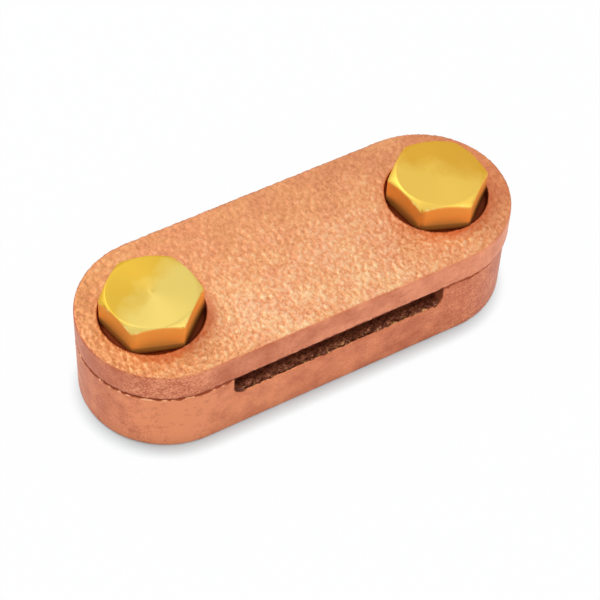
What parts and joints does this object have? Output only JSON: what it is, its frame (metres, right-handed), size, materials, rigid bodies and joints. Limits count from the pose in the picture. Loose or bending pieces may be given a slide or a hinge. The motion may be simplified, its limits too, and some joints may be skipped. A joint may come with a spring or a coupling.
{
  "type": "earthing tape clip",
  "caption": "Round-ended cast clip for flat earthing tape: a slotted base, a cover plate over the slot and hex-head screws that draw the cover down onto the tape.",
  "frame": {"origin": "middle of the back face, which lies on the wall, under the middle of the clip", "axes": "+X along the clip from the left screw to the right screw, +Y across it along the tape, +Z out of the wall along the screws"},
  "size_m": [0.0526, 0.0198, 0.0154],
  "materials": {
    "base_casting": "sand-cast gunmetal, fettled sides",
    "cover_casting": "sand-cast gunmetal, grainy top face",
    "left_screw_brass": "turned brass",
    "right_screw_brass": "turned brass"
  },
  "bodies": {
    "base": {"base": "base_casting"},
    "cover": {"cover": "cover_casting"},
    "left_screw": {"left_screw": "left_screw_brass"},
    "right_screw": {"right_screw": "right_screw_brass"}
  },
  "joints": [
    {"name": "cover_lift", "type": "slide", "parent": "base", "child": "cover", "axis": [0, 0, 1], "range_m": [0, 0.006]},
    {"name": "left_screw_turn", "type": "hinge", "parent": "cover", "child": "left_screw", "pos_m": [-0.018, 0, 0.0114], "axis": [0, 0, 1], "range_deg": [0, 2160]},
    {"name": "right_screw_turn", "type": "hinge", "parent": "cover", "child": "right_screw", "pos_m": [0.018, 0, 0.0114], "axis": [0, 0, 1], "range_deg": [0, 2160]}
  ],
  "couplings": [
    {"joint": "left_screw_turn", "follows": "cover_lift", "rad_per_m": 6283.2},
    {"joint": "right_screw_turn", "follows": "cover_lift", "rad_per_m": 6283.2}
  ]
}
